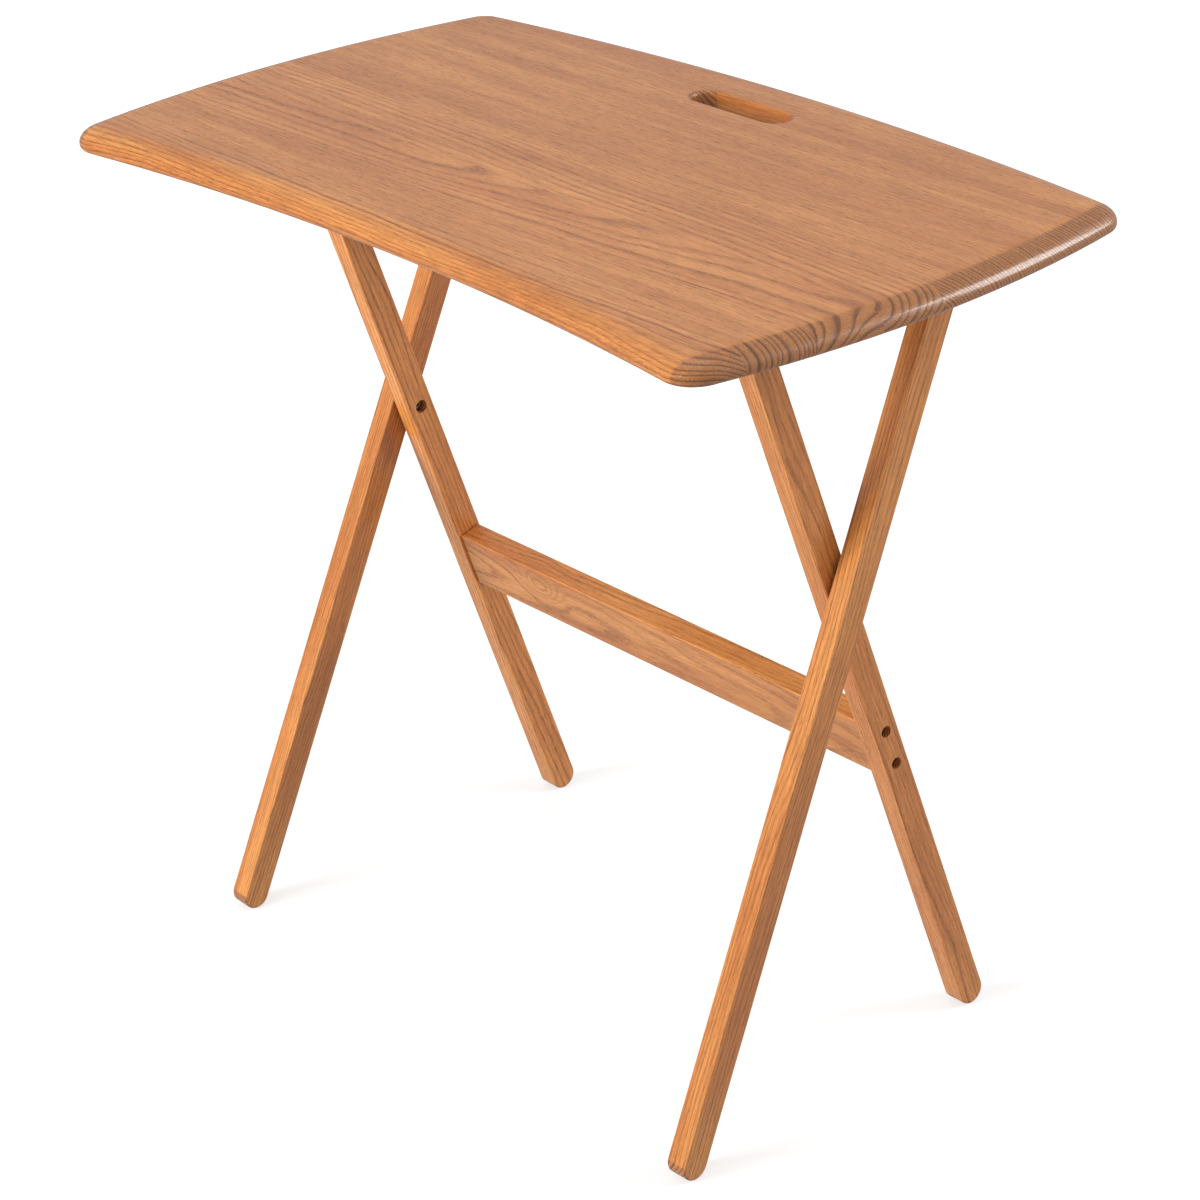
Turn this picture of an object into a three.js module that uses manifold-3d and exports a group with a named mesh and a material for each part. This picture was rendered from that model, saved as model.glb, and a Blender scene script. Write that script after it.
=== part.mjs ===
// Folding tray table: a bowed solid wood top on two pairs of crossed wooden legs.
// The inner legs turn on pivot screws in the outer legs, and the top turns on hinge screws
// in the upper ends of the outer legs. Two catch blocks hold the upper ends of the inner legs.
// Millimetres. +X runs along the top, +Y to the back (the hand slot's side), +Z up.
// The origin is on the floor, under the middle of the whole table.
import * as THREE from "three";
import { mergeVertices } from "three/addons/utils/BufferGeometryUtils.js";
import Module from "manifold-3d";

const wasm = await Module();
wasm.setup();

// ---------- driving dimensions ----------
const TABLE_HEIGHT = 636;
const TOP_LENGTH = 700; // over the bowed ends
const TOP_DEPTH = 418; // from the line through the front corners to the middle of the back edge
const TOP_THICKNESS = 17;
const END_BOW = 21.5; // how far each end bulges past its corners
const BACK_BOW = 25;
const FRONT_HOLLOW = 25.5; // how far the front edge curves in between its corners
const TOP_Y = -210.7; // the line through the two front corners, before they are rounded
const FRONT_CORNER_CUT = 23; // length of edge that each rounded corner takes
const BACK_CORNER_CUT = 17;
const EDGE_ROUND_IN = 20; // upper edge: width and height of its elliptical rounding
const EDGE_ROUND_DOWN = 12;
const UNDER_ROUND = 4.5;

const SLOT_LENGTH = 95;
const SLOT_WIDTH = 24.5;
const SLOT_X = -4;
const SLOT_Y = 149;

const LEG_WIDTH = 22;
const LEG_THICKNESS = 17.5;
const EDGE_EASE = 1.2; // eased edges of legs, rail and blocks
const INNER_LEAN = THREE.MathUtils.degToRad(18.9);
const OUTER_LEAN = THREE.MathUtils.degToRad(24.5);
const INNER_SPLAY = THREE.MathUtils.degToRad(0.88); // the feet stand a little wider than the tops
const OUTER_SPLAY = THREE.MathUtils.degToRad(1.22);
const INNER_X = 226; // middle of a leg at the height of the pivot
const OUTER_X = 246.3;
const PIVOT_Y = 8.4;
const PIVOT_HEIGHT = 384.5;

const HINGE_DROP = 14; // hinge axis below the underside of the top
const HINGE_EAR = 11.5; // radius of the hinge block's round ear
const HINGE_BLOCK_REACH = 48; // from the hinge axis to the back of the block
const HINGE_BLOCK_WIDTH = 20;

const CATCH_WIDTH = 40;
const CATCH_LIP = 14; // how far the lip reaches down the front of the inner leg
const CATCH_LIP_THICKNESS = 13;
const CATCH_PLAY = 1.1; // lip to leg, so that the lip clears the leg's end as the top tips up
const CATCH_BACK = 18; // from the inner leg's centre line to the back of the block
const LEG_END_CLEARANCE = 1; // inner leg end to hinge ear, when the legs are closed

const RAIL_HEIGHT = 48.5;
const RAIL_THICKNESS = 18;
const RAIL_BELOW_PIVOT = 148.2; // along the inner legs
const RAIL_SCREW_SPACING = 30;

const GAP = 0.3; // between pieces that touch
const SCREW_HOLE_GAP = 0.35;
const BOLT = { shank: 5, head: 7.6, headHeight: 3.5, socket: 4, socketDepth: 2 };
const BOLT_GRIP = 12; // thread in the outer leg
const RAIL_SCREW_GRIP = 28; // thread in the rail
const PIVOT_BORE = 10;
const RAIL_BORE = 8.6;
const COUNTERBORE_DEPTH = 9;
const WOOD_SCREW = { shank: 4, head: 7.6, headHeight: 2.4, length: 24, tip: 4 };
const WOOD_SCREW_GRIP = 10.5; // depth in the top
const WASHER_RADIUS = 8;

// ---------- values that follow ----------
const UNDERSIDE = TABLE_HEIGHT - TOP_THICKNESS;
const BLOCK_TOP = UNDERSIDE - GAP;
const LEG_END = LEG_WIDTH / 2;
const HINGE_HEIGHT = UNDERSIDE - HINGE_DROP;
const HINGE_ALONG = (HINGE_HEIGHT - PIVOT_HEIGHT) / Math.cos(OUTER_LEAN);
const HINGE_Y = PIVOT_Y + HINGE_ALONG * Math.sin(OUTER_LEAN);
const INNER_TOP_ALONG = HINGE_ALONG - HINGE_EAR - LEG_END_CLEARANCE;
const LEG_GAP = OUTER_X - INNER_X - LEG_THICKNESS;
const HINGE_OUTER_FACE = OUTER_X - HINGE_ALONG * Math.tan(OUTER_SPLAY) - LEG_THICKNESS / 2;
const HINGE_BLOCK_X = HINGE_OUTER_FACE - LEG_GAP - HINGE_BLOCK_WIDTH / 2;
const CATCH_X = INNER_X - INNER_TOP_ALONG * Math.tan(INNER_SPLAY) + LEG_THICKNESS / 2 - CATCH_WIDTH / 2;
const WOOD_SCREW_HEAD_Z = UNDERSIDE + WOOD_SCREW_GRIP - WOOD_SCREW.length;

const wood = new THREE.MeshStandardMaterial({ color: 0xb9794a, roughness: 0.5, metalness: 0 });
const darkWood = new THREE.MeshStandardMaterial({ color: 0xa96b3e, roughness: 0.55, metalness: 0 });
const steel = new THREE.MeshStandardMaterial({ color: 0x8d8a86, roughness: 0.4, metalness: 1 });
const nylon = new THREE.MeshStandardMaterial({ color: 0x2b2623, roughness: 0.6, metalness: 0 });

// ---------- helpers ----------
function solidOf(geometry) {
  const bare = new THREE.BufferGeometry();
  bare.setAttribute("position", geometry.getAttribute("position"));
  bare.setIndex(geometry.getIndex());
  const merged = mergeVertices(bare, 1e-4);
  return new wasm.Manifold(
    new wasm.Mesh({
      numProp: 3,
      vertProperties: new Float32Array(merged.attributes.position.array),
      triVerts: new Uint32Array(merged.index.array),
    }),
  );
}

function geometryOf(solid) {
  const mesh = solid.getMesh();
  const geometry = new THREE.BufferGeometry();
  geometry.setAttribute("position", new THREE.BufferAttribute(mesh.vertProperties, 3));
  geometry.setIndex(new THREE.BufferAttribute(mesh.triVerts, 1));
  geometry.computeVertexNormals();
  return geometry;
}

function cut(geometry, cutters) {
  let solid = solidOf(geometry);
  for (const cutter of cutters) solid = solid.subtract(solidOf(cutter));
  return geometryOf(solid);
}

function place(parent, name, geometry, material) {
  const mesh = new THREE.Mesh(geometry, material);
  mesh.name = name;
  parent.add(mesh);
  return mesh;
}

// A flat outline in (across, up), extruded along X with eased edges and centred on X = 0.
function sideways(shape, thickness, ease = EDGE_EASE) {
  const geometry = new THREE.ExtrudeGeometry(shape, {
    depth: thickness - 2 * ease,
    bevelEnabled: ease > 0,
    bevelThickness: ease,
    bevelSize: ease,
    bevelOffset: -ease,
    bevelSegments: 2,
    curveSegments: 10,
  });
  geometry.translate(0, 0, ease - thickness / 2);
  const turn = new THREE.Matrix4().makeBasis(
    new THREE.Vector3(0, 1, 0),
    new THREE.Vector3(0, 0, 1),
    new THREE.Vector3(1, 0, 0),
  );
  return geometry.applyMatrix4(turn);
}

// A round hole along X from x0 to x1 through (y, z).
function holeAlongX(radius, x0, x1, y, z) {
  const hole = new THREE.CylinderGeometry(radius, radius, Math.abs(x1 - x0), 20);
  hole.rotateZ(Math.PI / 2);
  return hole.translate((x0 + x1) / 2, y, z);
}

function holeAlongZ(radius, z0, z1, x, y) {
  const hole = new THREE.CylinderGeometry(radius, radius, z1 - z0, 16);
  hole.rotateX(Math.PI / 2);
  return hole.translate(x, y, (z0 + z1) / 2);
}

// ---------- the top ----------
// One edge of the top's plan: a shallow parabola whose ends stop short of the corners.
function bowedEdge(half, bow, startCut, endCut, toPlan) {
  const points = [];
  const steps = 18;
  for (let i = 0; i <= steps; i += 1) {
    const along = -half + startCut + ((2 * half - startCut - endCut) * i) / steps;
    const out = bow * (1 - (along / half) ** 2);
    points.push(toPlan(along, out));
  }
  return points;
}

function topPlan() {
  const halfLength = TOP_LENGTH / 2 - END_BOW;
  const halfDepth = (TOP_DEPTH - BACK_BOW) / 2;
  const middleY = TOP_Y + halfDepth;
  const plan = (x, y) => new THREE.Vector2(x, middleY + y);
  const front = FRONT_CORNER_CUT;
  const back = BACK_CORNER_CUT;
  const edges = [
    bowedEdge(halfLength, FRONT_HOLLOW, front, front, (a, out) => plan(a, out - halfDepth)),
    bowedEdge(halfDepth, END_BOW, front, back, (a, out) => plan(halfLength + out, a)),
    bowedEdge(halfLength, BACK_BOW, back, back, (a, out) => plan(-a, halfDepth + out)),
    bowedEdge(halfDepth, END_BOW, back, front, (a, out) => plan(-halfLength - out, -a)),
  ];
  const corners = [
    plan(halfLength, -halfDepth),
    plan(halfLength, halfDepth),
    plan(-halfLength, halfDepth),
    plan(-halfLength, -halfDepth),
  ];
  const handle = 0.58; // of the way to the corner, which makes a near-circular bend
  const outline = [];
  edges.forEach((edge, i) => {
    const next = edges[(i + 1) % edges.length][0];
    const last = edge[edge.length - 1];
    const bend = new THREE.CubicBezierCurve(
      last,
      last.clone().lerp(corners[i], handle),
      next.clone().lerp(corners[i], handle),
      next,
    );
    outline.push(...edge, ...bend.getPoints(7).slice(1, -1));
  });
  return new THREE.Shape(outline);
}

function slotShape() {
  const half = (SLOT_LENGTH - SLOT_WIDTH) / 2;
  const radius = SLOT_WIDTH / 2;
  const shape = new THREE.Shape();
  shape.absarc(SLOT_X + half, SLOT_Y, radius, -Math.PI / 2, Math.PI / 2);
  shape.absarc(SLOT_X - half, SLOT_Y, radius, Math.PI / 2, (3 * Math.PI) / 2);
  return shape;
}

// A slab with both edges rounded. The top is the part that two such slabs share.
function roundedSlab(shape, bottom, height, roundIn, roundDown, segments) {
  const slab = new THREE.ExtrudeGeometry(shape, {
    depth: height - 2 * roundDown,
    bevelEnabled: true,
    bevelThickness: roundDown,
    bevelSize: roundIn,
    bevelOffset: -roundIn,
    bevelSegments: segments,
  });
  return slab.translate(0, 0, bottom + roundDown);
}

function makeTop(screwHoles) {
  const shape = topPlan();
  const spare = 3 * EDGE_ROUND_DOWN;
  const upper = roundedSlab(
    shape,
    UNDERSIDE - spare,
    TOP_THICKNESS + spare,
    EDGE_ROUND_IN,
    EDGE_ROUND_DOWN,
    6,
  );
  const lower = roundedSlab(shape, UNDERSIDE, TOP_THICKNESS + spare, UNDER_ROUND, UNDER_ROUND, 3);
  const slot = new THREE.ExtrudeGeometry(slotShape(), {
    depth: 3 * TOP_THICKNESS,
    bevelEnabled: false,
    curveSegments: 12,
  });
  slot.translate(0, 0, UNDERSIDE - TOP_THICKNESS);
  const board = geometryOf(solidOf(upper).intersect(solidOf(lower)));
  return cut(board, [slot, ...screwHoles]);
}

// ---------- legs ----------
// A leg's origin is on the pivot, with Z up the leg; both ends are half round.
function legShape(down, up) {
  const shape = new THREE.Shape();
  shape.absarc(0, up, LEG_END, 0, Math.PI);
  shape.absarc(0, -down, LEG_END, Math.PI, 2 * Math.PI);
  return shape;
}

function footAlong(lean, splay) {
  const rise = LEG_END + (LEG_THICKNESS / 2) * Math.sin(splay);
  return (PIVOT_HEIGHT - rise) / (Math.cos(lean) * Math.cos(splay));
}

function makeOuterLeg(side) {
  const inside = (-side * LEG_THICKNESS) / 2;
  const holeEnd = inside + side * (BOLT_GRIP + 1);
  const radius = BOLT.shank / 2 + SCREW_HOLE_GAP;
  const leg = sideways(legShape(footAlong(OUTER_LEAN, OUTER_SPLAY), HINGE_ALONG), LEG_THICKNESS);
  return cut(leg, [
    holeAlongX(radius, inside - side, holeEnd, 0, 0),
    holeAlongX(radius, inside - side, holeEnd, 0, HINGE_ALONG),
  ]);
}

function makeInnerLeg(side) {
  const inside = (-side * LEG_THICKNESS) / 2;
  const outside = -inside;
  const radius = BOLT.shank / 2 + SCREW_HOLE_GAP;
  const leg = sideways(
    legShape(footAlong(INNER_LEAN, INNER_SPLAY), INNER_TOP_ALONG - LEG_END),
    LEG_THICKNESS,
  );
  const cutters = [
    holeAlongX(radius, inside - side, outside + side, 0, 0),
    holeAlongX(PIVOT_BORE / 2, inside - side, inside + side * COUNTERBORE_DEPTH, 0, 0),
  ];
  for (const up of [-1, 1]) {
    const z = -RAIL_BELOW_PIVOT + (up * RAIL_SCREW_SPACING) / 2;
    cutters.push(holeAlongX(radius, inside - side, outside + side, 0, z));
    const floor = outside - side * COUNTERBORE_DEPTH;
    cutters.push(holeAlongX(RAIL_BORE / 2, floor, outside + side, 0, z));
  }
  return cut(leg, cutters);
}

// The rail between the inner legs. Its ends follow the legs' splay.
function makeRail() {
  const top = -RAIL_BELOW_PIVOT + RAIL_HEIGHT / 2;
  const bottom = top - RAIL_HEIGHT;
  const halfAt = (z) => INNER_X - z * Math.tan(INNER_SPLAY) - LEG_THICKNESS / 2 - GAP;
  const shape = new THREE.Shape([
    new THREE.Vector2(-halfAt(bottom), bottom),
    new THREE.Vector2(halfAt(bottom), bottom),
    new THREE.Vector2(halfAt(top), top),
    new THREE.Vector2(-halfAt(top), top),
  ]);
  const rail = new THREE.ExtrudeGeometry(shape, {
    depth: RAIL_THICKNESS - 2 * EDGE_EASE,
    bevelThickness: EDGE_EASE,
    bevelSize: EDGE_EASE,
    bevelOffset: -EDGE_EASE,
    bevelSegments: 2,
  });
  rail.translate(0, 0, EDGE_EASE - RAIL_THICKNESS / 2);
  rail.rotateX(Math.PI / 2);
  const cutters = [];
  for (const side of [-1, 1]) {
    for (const up of [-1, 1]) {
      const z = -RAIL_BELOW_PIVOT + (up * RAIL_SCREW_SPACING) / 2;
      const end = side * (halfAt(z) + 1);
      const radius = BOLT.shank / 2 + SCREW_HOLE_GAP;
      cutters.push(holeAlongX(radius, end - side * (RAIL_SCREW_GRIP + 3), end, 0, z));
    }
  }
  return cut(rail, cutters);
}

// ---------- blocks under the top ----------
// The hinge block: a plate under the top with a round ear about the hinge axis.
function makeHingeBlock(side, screwHoles) {
  const top = BLOCK_TOP - HINGE_HEIGHT;
  const shape = new THREE.Shape();
  shape.moveTo(HINGE_BLOCK_REACH, 0);
  shape.lineTo(HINGE_BLOCK_REACH, top);
  shape.lineTo(-HINGE_EAR, top);
  shape.lineTo(-HINGE_EAR, 0);
  shape.absarc(0, 0, HINGE_EAR, Math.PI, 2 * Math.PI);
  const block = sideways(shape, HINGE_BLOCK_WIDTH, 0);
  block.translate(side * HINGE_BLOCK_X, HINGE_Y, HINGE_HEIGHT);
  const inside = side * (HINGE_BLOCK_X - HINGE_BLOCK_WIDTH / 2);
  const outside = side * (HINGE_BLOCK_X + HINGE_BLOCK_WIDTH / 2);
  const radius = BOLT.shank / 2 + SCREW_HOLE_GAP;
  const boreEnd = inside + side * COUNTERBORE_DEPTH;
  return cut(block, [
    holeAlongX(radius, inside - side, outside + side, HINGE_Y, HINGE_HEIGHT),
    holeAlongX(PIVOT_BORE / 2, inside - side, boreEnd, HINGE_Y, HINGE_HEIGHT),
    ...screwHoles,
  ]);
}

// A point beside an inner leg: across is towards the back, along is up the leg from the pivot.
function besideInnerLeg(across, along) {
  return new THREE.Vector2(
    PIVOT_Y + across * Math.cos(INNER_LEAN) - along * Math.sin(INNER_LEAN),
    PIVOT_HEIGHT + across * Math.sin(INNER_LEAN) + along * Math.cos(INNER_LEAN),
  );
}

// The catch block: a notch that takes the inner leg's end, with a lip in front of it.
function makeCatchBlock(side, screwHoles) {
  const bearing = INNER_TOP_ALONG + GAP;
  const notchFront = -LEG_END - CATCH_PLAY;
  const lipFront = notchFront - CATCH_LIP_THICKNESS;
  const back = besideInnerLeg(CATCH_BACK, bearing);
  const front = besideInnerLeg(lipFront, bearing - CATCH_LIP);
  const shape = new THREE.Shape([
    back,
    new THREE.Vector2(back.x, BLOCK_TOP),
    new THREE.Vector2(front.x, BLOCK_TOP),
    front,
    besideInnerLeg(notchFront, bearing - CATCH_LIP),
    besideInnerLeg(notchFront, bearing),
  ]);
  const block = sideways(shape, CATCH_WIDTH, 0);
  block.translate(side * CATCH_X, 0, 0);
  return cut(block, screwHoles);
}

// ---------- fasteners ----------
// A socket-head screw along +Z whose head stands below Z = 0.
function makeBolt(length) {
  const r = BOLT.shank / 2;
  const head = BOLT.head / 2;
  const ease = 0.4;
  const profile = [
    new THREE.Vector2(0, -BOLT.headHeight),
    new THREE.Vector2(head - ease, -BOLT.headHeight),
    new THREE.Vector2(head, -BOLT.headHeight + ease),
    new THREE.Vector2(head, 0),
    new THREE.Vector2(r, 0),
    new THREE.Vector2(r, length - r),
    new THREE.Vector2(0, length),
  ];
  const bolt = new THREE.LatheGeometry(profile, 20);
  bolt.rotateX(Math.PI / 2);
  const socket = new THREE.CylinderGeometry(BOLT.socket / 2, BOLT.socket / 2, BOLT.socketDepth * 2, 6);
  socket.rotateX(Math.PI / 2);
  socket.translate(0, 0, -BOLT.headHeight);
  return cut(bolt, [socket]);
}

// A countersunk wood screw along +Z whose flat head is at Z = 0.
function makeWoodScrew() {
  const r = WOOD_SCREW.shank / 2;
  const head = WOOD_SCREW.head / 2;
  const slotWidth = 1.1;
  const slotDepth = 1.2;
  const profile = [
    new THREE.Vector2(0, 0),
    new THREE.Vector2(head, 0),
    new THREE.Vector2(head, 0.5),
    new THREE.Vector2(r, WOOD_SCREW.headHeight),
    new THREE.Vector2(r, WOOD_SCREW.length - WOOD_SCREW.tip),
    new THREE.Vector2(0, WOOD_SCREW.length),
  ];
  const screw = new THREE.LatheGeometry(profile, 16);
  screw.rotateX(Math.PI / 2);
  const cross = [
    new THREE.BoxGeometry(WOOD_SCREW.head * 0.6, slotWidth, slotDepth * 2),
    new THREE.BoxGeometry(slotWidth, WOOD_SCREW.head * 0.6, slotDepth * 2),
  ];
  return cut(screw, cross);
}

function makeWasher() {
  const inner = BOLT.shank / 2 + SCREW_HOLE_GAP;
  const half = LEG_GAP / 2 - GAP;
  const profile = [
    new THREE.Vector2(inner, -half),
    new THREE.Vector2(WASHER_RADIUS, -half),
    new THREE.Vector2(WASHER_RADIUS, half),
    new THREE.Vector2(inner, half),
    new THREE.Vector2(inner, -half),
  ];
  return new THREE.LatheGeometry(profile, 24).rotateX(Math.PI / 2);
}

// Turns a fastener that points along +Z so that it points along +X or -X.
function pointAlongX(mesh, direction) {
  mesh.rotation.y = (direction * Math.PI) / 2;
}

// Where the wood screws of each side go up into the top: x, y and the block they hold.
function woodScrewPlaces(side) {
  const bearing = INNER_TOP_ALONG + GAP;
  const catchX = side * (CATCH_X - CATCH_WIDTH / 2 + WOOD_SCREW.head / 2 + 3);
  const hingeX = side * HINGE_BLOCK_X;
  return [
    { block: "catch", x: catchX, y: besideInnerLeg(-4, bearing).x },
    { block: "catch", x: catchX, y: besideInnerLeg(11, bearing).x },
    { block: "hinge", x: hingeX, y: HINGE_Y + 19 },
    { block: "hinge", x: hingeX, y: HINGE_Y + 39 },
  ];
}

// The clearance for one wood screw, open at the bottom of its block.
function woodScrewHole({ x, y }) {
  const shank = WOOD_SCREW.shank / 2 + SCREW_HOLE_GAP;
  const head = WOOD_SCREW.head / 2 + SCREW_HOLE_GAP;
  const headEnd = WOOD_SCREW_HEAD_Z + WOOD_SCREW.headHeight + GAP;
  return [
    holeAlongZ(shank, WOOD_SCREW_HEAD_Z, UNDERSIDE + WOOD_SCREW_GRIP + GAP, x, y),
    holeAlongZ(head, WOOD_SCREW_HEAD_Z - 2 * COUNTERBORE_DEPTH, headEnd, x, y),
  ];
}

// ---------- assembly ----------
const table = new THREE.Group();
const tray = new THREE.Group();
const outerFrame = new THREE.Group();
const innerFrame = new THREE.Group();
table.add(tray, outerFrame, innerFrame);
outerFrame.position.set(0, PIVOT_Y, PIVOT_HEIGHT);
innerFrame.position.set(0, PIVOT_Y, PIVOT_HEIGHT);
innerFrame.rotation.x = INNER_LEAN;

const sideNames = new Map([
  [-1, "left"],
  [1, "right"],
]);
const allScrewHoles = [];
for (const [side, name] of sideNames) {
  const places = woodScrewPlaces(side);
  const holesFor = (block) => places.filter((p) => p.block === block).flatMap(woodScrewHole);
  allScrewHoles.push(...places.flatMap(woodScrewHole));
  place(tray, `hinge_block_${name}`, makeHingeBlock(side, holesFor("hinge")), darkWood);
  place(tray, `catch_block_${name}`, makeCatchBlock(side, holesFor("catch")), darkWood);
  const counts = { catch: 0, hinge: 0 };
  for (const { block, x, y } of places) {
    counts[block] += 1;
    const screw = place(tray, `${block}_block_screw_${name}_${counts[block]}`, makeWoodScrew(), steel);
    screw.position.set(x, y, WOOD_SCREW_HEAD_Z);
  }

  const outerLeg = place(outerFrame, `outer_leg_${name}`, makeOuterLeg(side), wood);
  outerLeg.position.x = side * OUTER_X;
  outerLeg.rotation.set(-OUTER_LEAN, -side * OUTER_SPLAY, 0);

  const innerLeg = place(innerFrame, `inner_leg_${name}`, makeInnerLeg(side), wood);
  innerLeg.position.x = side * INNER_X;
  innerLeg.rotation.y = -side * INNER_SPLAY;

  const boltSeat = COUNTERBORE_DEPTH - LEG_THICKNESS / 2;
  const pivotLength = LEG_THICKNESS - COUNTERBORE_DEPTH + LEG_GAP + BOLT_GRIP;
  const pivotScrew = place(outerFrame, `pivot_screw_${name}`, makeBolt(pivotLength), steel);
  pivotScrew.position.x = side * (INNER_X + boltSeat - GAP);
  pointAlongX(pivotScrew, side);
  const pivotWasher = place(outerFrame, `pivot_washer_${name}`, makeWasher(), nylon);
  pivotWasher.position.x = (side * (INNER_X + OUTER_X)) / 2;
  pointAlongX(pivotWasher, side);

  const hingeLength = HINGE_BLOCK_WIDTH - COUNTERBORE_DEPTH + LEG_GAP + BOLT_GRIP;
  const hingeSeat = HINGE_BLOCK_X - HINGE_BLOCK_WIDTH / 2 + COUNTERBORE_DEPTH - GAP;
  const hingeScrew = place(outerFrame, `hinge_screw_${name}`, makeBolt(hingeLength), steel);
  const hingeUp = HINGE_HEIGHT - PIVOT_HEIGHT;
  hingeScrew.position.set(side * hingeSeat, HINGE_Y - PIVOT_Y, hingeUp);
  pointAlongX(hingeScrew, side);
  const hingeWasher = place(outerFrame, `hinge_washer_${name}`, makeWasher(), nylon);
  hingeWasher.position.set(side * (HINGE_OUTER_FACE - LEG_GAP / 2), HINGE_Y - PIVOT_Y, hingeUp);
  pointAlongX(hingeWasher, side);

  for (const [index, up] of [1, -1].entries()) {
    const z = -RAIL_BELOW_PIVOT + (up * RAIL_SCREW_SPACING) / 2;
    const seat = INNER_X - z * Math.tan(INNER_SPLAY) - boltSeat + GAP;
    const length = LEG_THICKNESS - COUNTERBORE_DEPTH + RAIL_SCREW_GRIP;
    const screw = place(innerFrame, `rail_screw_${name}_${index + 1}`, makeBolt(length), steel);
    screw.position.set(side * seat, 0, z);
    pointAlongX(screw, -side);
  }
}
place(innerFrame, "rail", makeRail(), wood);
place(tray, "tray_top", makeTop(allScrewHoles), wood);

export default table;
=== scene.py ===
"""Folding tray table in lacquered ash: the looks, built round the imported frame.

Lengths of the pieces are in millimetres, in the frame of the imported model: +X along the top,
+Y to the back, +Z up, origin on the floor. Blender itself works in metres.
"""

import math

import bmesh
import bpy
from mathutils import Matrix, Vector


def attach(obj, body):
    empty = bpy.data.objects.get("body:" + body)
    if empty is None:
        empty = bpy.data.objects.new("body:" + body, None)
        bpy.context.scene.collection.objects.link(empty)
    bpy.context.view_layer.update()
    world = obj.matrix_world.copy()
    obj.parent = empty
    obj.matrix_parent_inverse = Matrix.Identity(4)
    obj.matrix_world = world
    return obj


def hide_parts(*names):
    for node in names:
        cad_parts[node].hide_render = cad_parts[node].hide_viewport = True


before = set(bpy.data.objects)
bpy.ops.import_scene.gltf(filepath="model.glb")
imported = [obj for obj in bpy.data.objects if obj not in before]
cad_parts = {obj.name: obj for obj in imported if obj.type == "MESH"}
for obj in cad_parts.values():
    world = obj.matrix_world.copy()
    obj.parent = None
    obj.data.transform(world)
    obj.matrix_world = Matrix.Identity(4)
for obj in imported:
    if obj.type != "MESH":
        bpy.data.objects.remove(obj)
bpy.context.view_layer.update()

MM = 0.001

# ---------- dimensions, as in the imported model; round things by their radius ----------
TABLE_HEIGHT = 636
TOP_LENGTH = 700
TOP_DEPTH = 418
TOP_THICKNESS = 17
END_BOW = 21.5
BACK_BOW = 25
FRONT_HOLLOW = 25.5
TOP_Y = -210.7
FRONT_CORNER_CUT = 23
BACK_CORNER_CUT = 17
EDGE_ROUND_IN = 20
EDGE_ROUND_DOWN = 12
UNDER_ROUND = 4.5
EDGE_STEPS = 28

# The slot's waist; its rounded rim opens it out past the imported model's straight 95 x 24.5.
SLOT_LENGTH = 94
SLOT_WIDTH = 23.5
SLOT_X = -4
SLOT_Y = 149
SLOT_RIM = 3.2
RIM_STEPS = 8

LEG_WIDTH = 22
LEG_THICKNESS = 17.5
EDGE_EASE = 1.2
INNER_LEAN = math.radians(18.9)
OUTER_LEAN = math.radians(24.5)
INNER_SPLAY = math.radians(0.88)
OUTER_SPLAY = math.radians(1.22)
INNER_X = 226
OUTER_X = 246.3
PIVOT_Y = 8.4
PIVOT_HEIGHT = 384.5

HINGE_DROP = 14
HINGE_EAR = 11.5
HINGE_BLOCK_WIDTH = 20
LEG_END_CLEARANCE = 1

RAIL_HEIGHT = 48.5
RAIL_THICKNESS = 18
RAIL_BELOW_PIVOT = 148.2
RAIL_SCREW_SPACING = 30

GAP = 0.3
SHANK_HOLE = 2.85
PIVOT_BORE = 5
RAIL_BORE = 4.3
COUNTERBORE_DEPTH = 9
HOLE_EASE = 0.4
BOLT_GRIP = 12
RAIL_SCREW_GRIP = 28
BOLT_SHANK = 2.5
BOLT_HEAD = 3.8
BOLT_HEAD_HEIGHT = 3.5
BOLT_SOCKET = 2.0
BOLT_SOCKET_DEPTH = 2.0
WASHER_RADIUS = 8
TURNED_STEPS = 48
BLOCK_EASE = 0.5
SMOOTH_BELOW = math.radians(38)

# ---------- values that follow ----------
UNDERSIDE = TABLE_HEIGHT - TOP_THICKNESS
LEG_END = LEG_WIDTH / 2
HINGE_HEIGHT = UNDERSIDE - HINGE_DROP
HINGE_ALONG = (HINGE_HEIGHT - PIVOT_HEIGHT) / math.cos(OUTER_LEAN)
HINGE_Y = PIVOT_Y + HINGE_ALONG * math.sin(OUTER_LEAN)
INNER_TOP_ALONG = HINGE_ALONG - HINGE_EAR - LEG_END_CLEARANCE
LEG_GAP = OUTER_X - INNER_X - LEG_THICKNESS
HINGE_OUTER_FACE = OUTER_X - HINGE_ALONG * math.tan(OUTER_SPLAY) - LEG_THICKNESS / 2
HINGE_BLOCK_X = HINGE_OUTER_FACE - LEG_GAP - HINGE_BLOCK_WIDTH / 2
HALF_LENGTH = TOP_LENGTH / 2 - END_BOW
HALF_DEPTH = (TOP_DEPTH - BACK_BOW) / 2
TOP_MIDDLE_Y = TOP_Y + HALF_DEPTH
SIDES = {-1: "left", 1: "right"}


# ---------- camera: metres, radians, and millimetres for its lens and sensor ----------
CAMERA_PLACE = (1.7817, -1.5029, 1.4354)
CAMERA_AZIMUTH = -0.8716
CAMERA_FALL = 0.454
CAMERA_ROLL = -0.0418
CAMERA_LENS = 106.7
CAMERA_SENSOR = 36
CAMERA_REACH = 1000


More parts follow.
